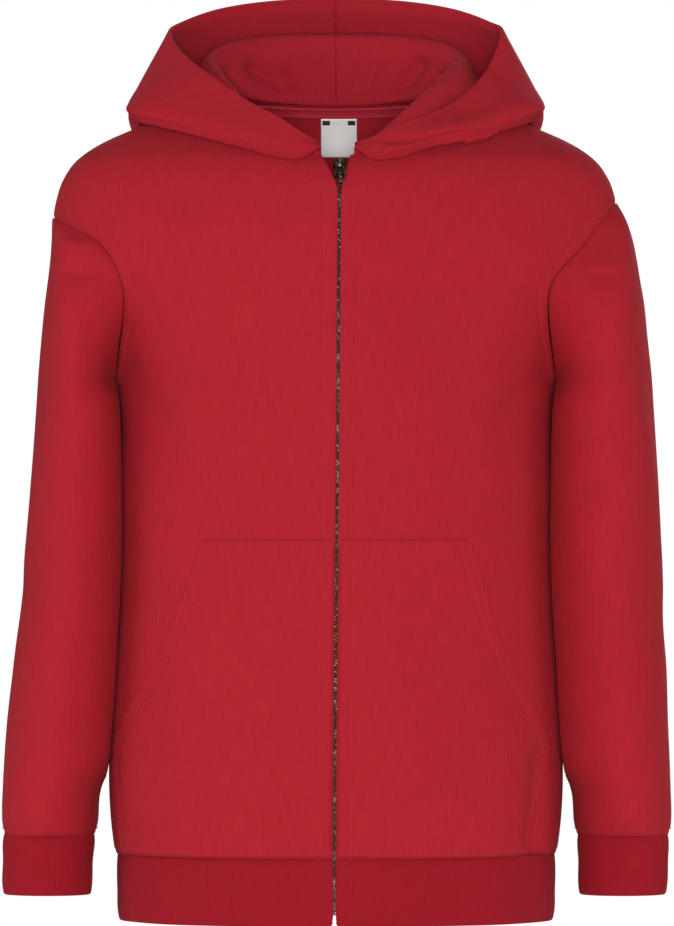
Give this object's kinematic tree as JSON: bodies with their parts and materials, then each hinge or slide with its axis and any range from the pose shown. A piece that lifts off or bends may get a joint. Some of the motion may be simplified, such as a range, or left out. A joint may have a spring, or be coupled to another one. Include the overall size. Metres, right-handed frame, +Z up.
{
  "type": "hooded sweatshirt",
  "caption": "Child's zip-up hooded sweatshirt with long sleeves, front pouch pockets, ribbed cuffs and waistband, filled out as if worn, with its hood down.",
  "frame": {"origin": "midway between the two high points of the shoulders, where the neckline starts", "axes": "+X towards the wearer's left, the wearer faces -Y, +Z up"},
  "size_m": [0.442, 0.2531, 0.613],
  "materials": {
    "shell_fleece": "matte red sweatshirt knit with fine lengthwise wales",
    "hood_lining": "the same knit, seen inside the hood",
    "rib": "matte darker red rib knit",
    "tape": "matte red woven tape",
    "label": "satin woven label, bare",
    "antique_brass": "antique brass, worn"
  },
  "bodies": {
    "garment": {"back": "shell_fleece", "front_right": "shell_fleece", "front_left": "shell_fleece", "sleeve_right": "shell_fleece", "sleeve_left": "shell_fleece", "cuff_right": "rib", "cuff_left": "rib", "waistband": "rib", "pocket_right": "shell_fleece", "pocket_left": "shell_fleece", "hood_outer_right": "shell_fleece", "hood_outer_left": "shell_fleece", "hood_lining_right": "hood_lining", "hood_lining_left": "hood_lining", "neck_tape": "tape", "label": "label", "zip_tape_right": "tape", "zip_tape_left": "tape", "zip_chain": "antique_brass", "zip_slider": "antique_brass", "zip_box": "antique_brass"},
    "pull_tab": {"pull_tab": "antique_brass"}
  },
  "joints": [
    {"name": "pull_tab_hinge", "type": "hinge", "parent": "garment", "child": "pull_tab", "pos_m": [0.00255, -0.08143, -0.05368], "axis": [-1, 0, 0], "range_deg": [0, 115]}
  ]
}
